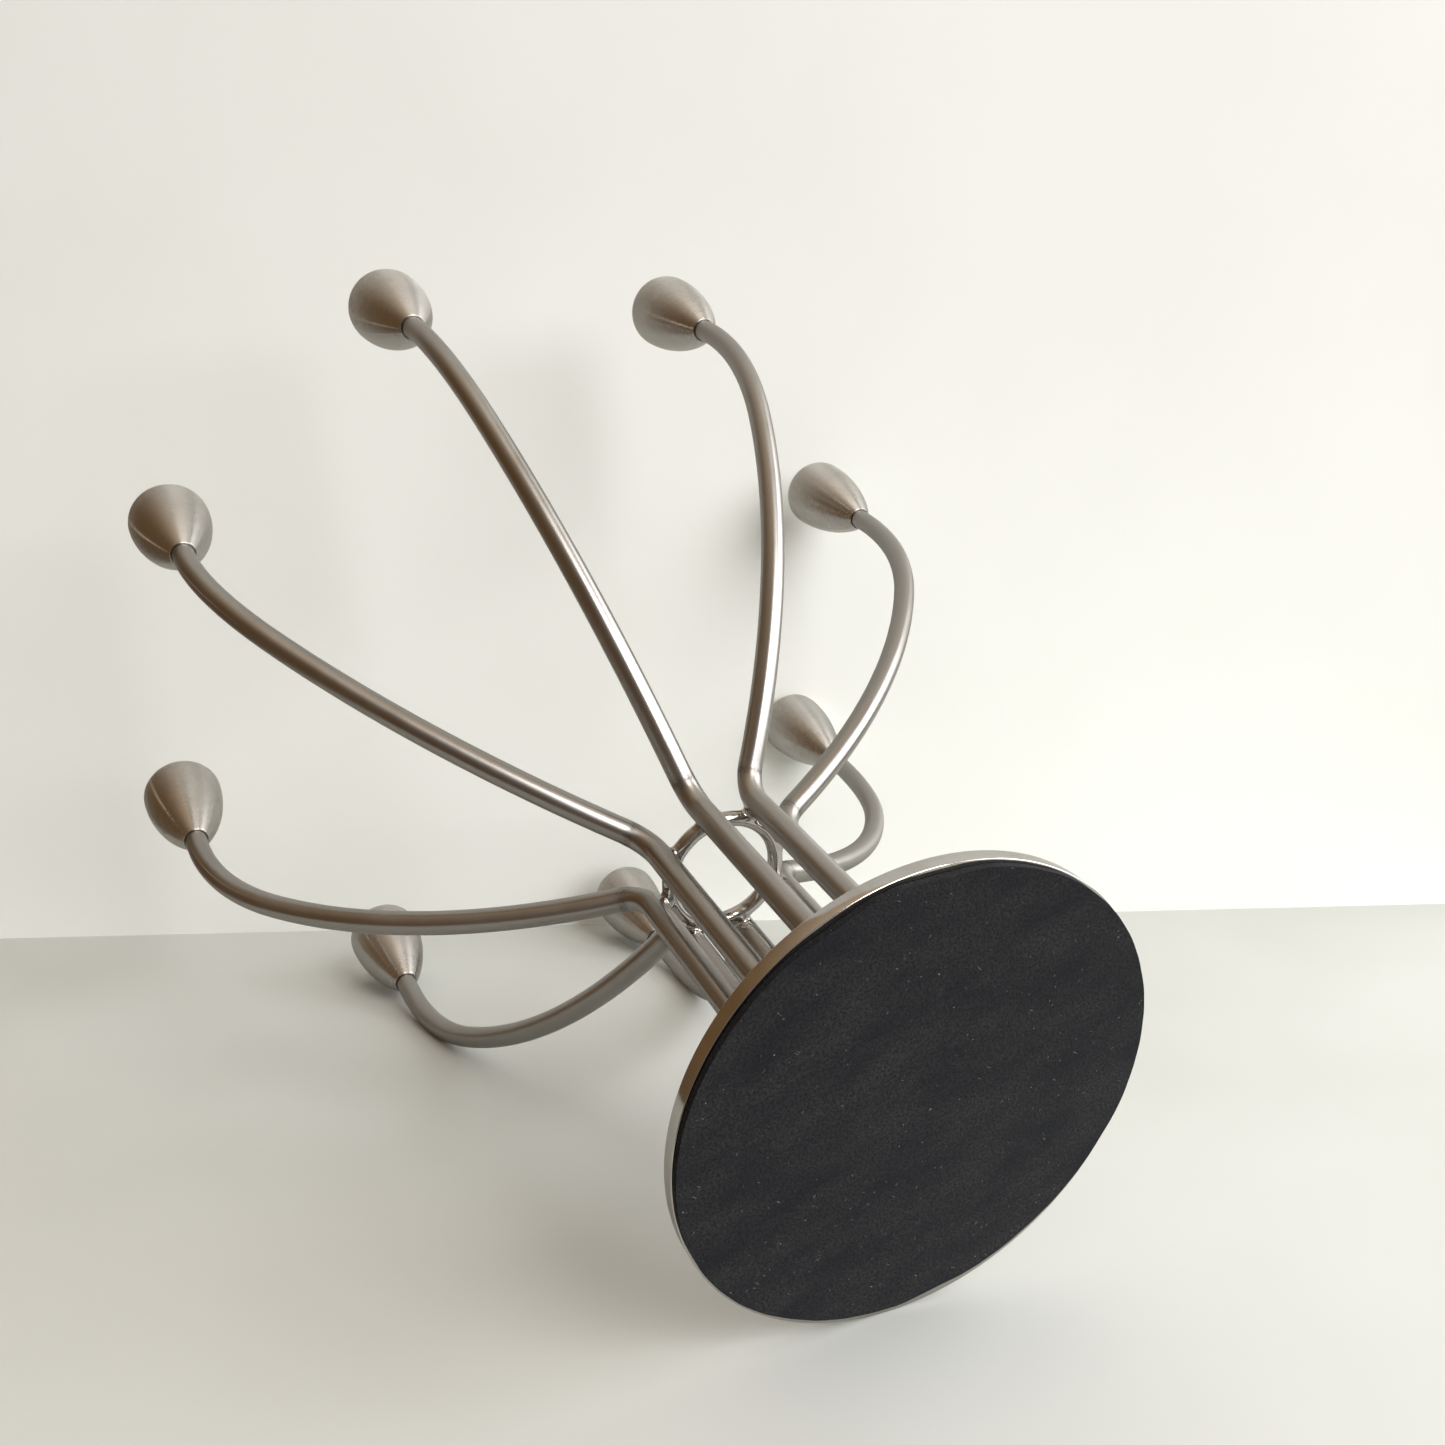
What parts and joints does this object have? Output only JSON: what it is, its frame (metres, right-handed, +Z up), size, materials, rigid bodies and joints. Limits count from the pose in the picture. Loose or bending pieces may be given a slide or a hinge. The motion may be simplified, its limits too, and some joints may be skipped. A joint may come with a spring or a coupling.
{
  "type": "mug tree",
  "caption": "Free-standing steel mug tree: bent round rods rise from a round foam-backed base, meet at a welded ring and sweep out to teardrop knobs.",
  "frame": {"origin": "centre of the foot print, on the surface that the foam pad stands on", "axes": "+Z up along the middle of the ring of rods, +X towards the first arm, arms numbered counter-clockwise about +Z"},
  "size_m": [0.3324, 0.3324, 0.3465],
  "materials": {
    "plate_steel": "brushed",
    "foam": "matt closed-cell foam",
    "screw_steel": "plain",
    "ring_steel": "polished",
    "weld_steel": "ground and polished",
    "rod_steel": "satin",
    "knob_steel": "brushed lengthwise"
  },
  "bodies": {
    "root": {"base_plate": "plate_steel", "base_pad": "foam", "base_screws": "screw_steel", "support_ring": "ring_steel", "ring_welds": "weld_steel", "arm_1": "rod_steel", "arm_2": "rod_steel", "arm_3": "rod_steel", "arm_4": "rod_steel", "arm_5": "rod_steel", "arm_6": "rod_steel", "arm_7": "rod_steel", "arm_8": "rod_steel", "knob_1": "knob_steel", "knob_2": "knob_steel", "knob_3": "knob_steel", "knob_4": "knob_steel", "knob_5": "knob_steel", "knob_6": "knob_steel", "knob_7": "knob_steel", "knob_8": "knob_steel"}
  },
  "joints": []
}
